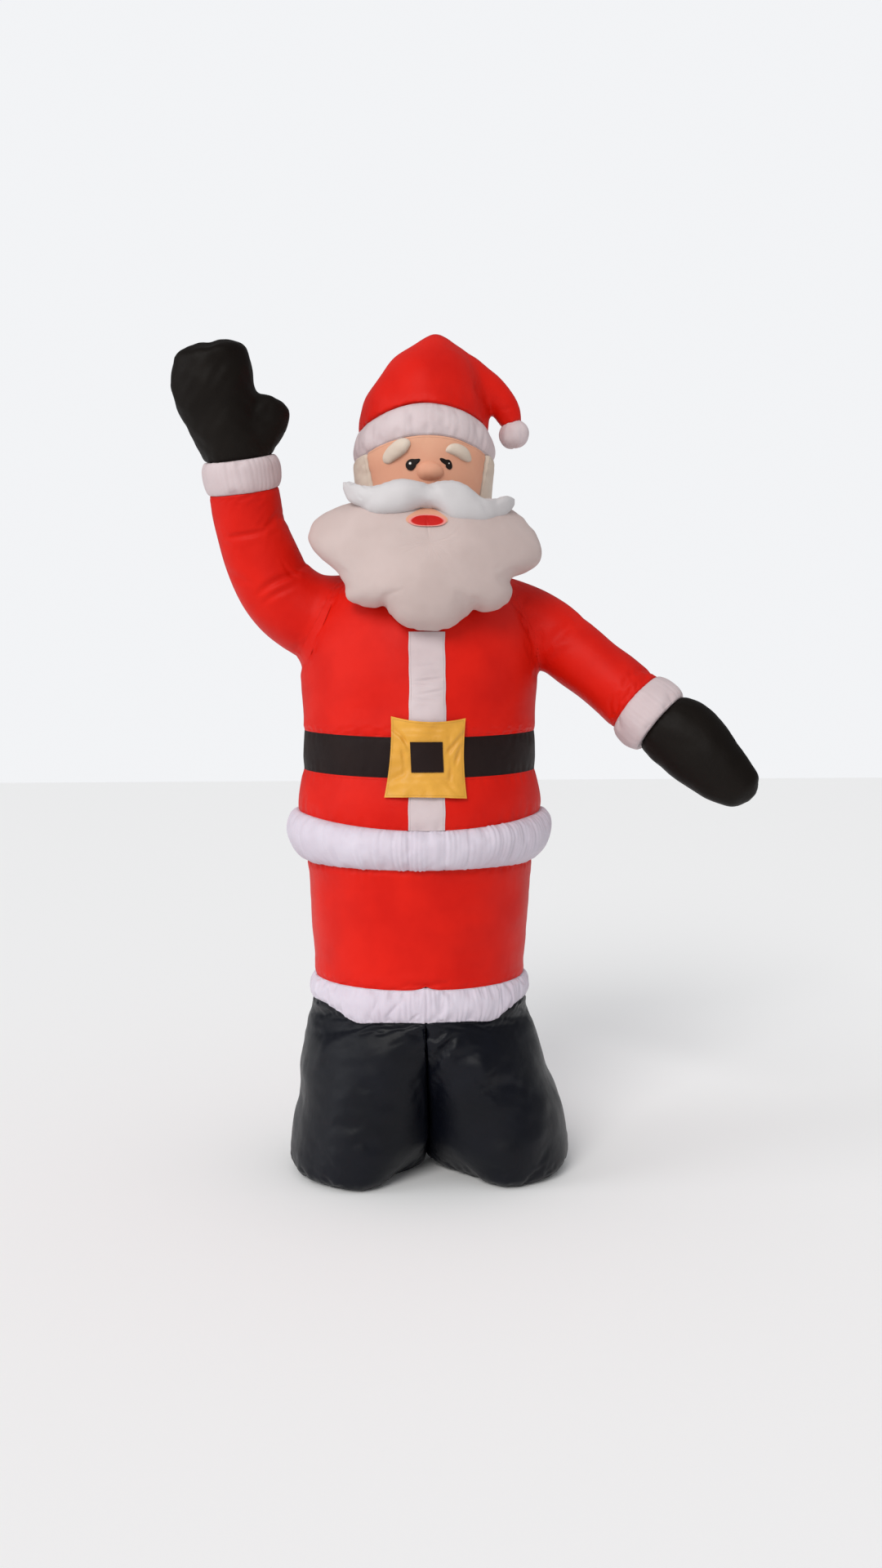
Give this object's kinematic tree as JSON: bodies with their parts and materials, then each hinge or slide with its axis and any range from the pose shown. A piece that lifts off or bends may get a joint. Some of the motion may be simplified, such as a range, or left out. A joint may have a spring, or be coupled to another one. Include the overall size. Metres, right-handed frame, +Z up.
{
  "type": "inflatable santa figure",
  "caption": "Standing air-filled cloth Santa figure for outdoor display, waving one arm and holding the other out and down, with a full beard, belt, buckle and boots.",
  "frame": {"origin": "on the ground under the middle of the bounding box", "axes": "+Z up; the figure faces -Y; +X points to the figure's own left hand"},
  "size_m": [1.6302, 0.773, 2.4],
  "materials": {
    "red": "smooth coated polyester with a soft shine",
    "white": "gathered white polyester, satin",
    "hair_white": "smooth white polyester, satin",
    "black": "smooth black polyester with a soft shine",
    "skin": "smooth flesh-coloured polyester, satin",
    "gold": "yellow-gold polyester, satin",
    "lip_red": "smooth red polyester",
    "eye_black": "smooth black polyester patch"
  },
  "bodies": {
    "root": {"boot_right": "black", "boot_left": "black", "boot_trim": "white", "trousers": "red", "jacket_trim": "white", "jacket_skirt": "red", "belt": "black", "jacket": "red", "placket_upper": "white", "placket_lower": "white", "buckle": "gold", "buckle_centre": "black", "sleeve_right": "red", "cuff_right": "white", "mitten_right": "black", "sleeve_left": "red", "cuff_left": "white", "mitten_left": "black", "face": "skin", "hair": "hair_white", "hat_brim": "white", "hat": "red", "pompom": "white", "beard": "hair_white", "moustache": "hair_white", "nose": "skin", "eye_right": "eye_black", "eye_left": "eye_black", "brow_right": "hair_white", "brow_left": "hair_white", "mouth": "skin", "lips": "lip_red"}
  },
  "joints": []
}
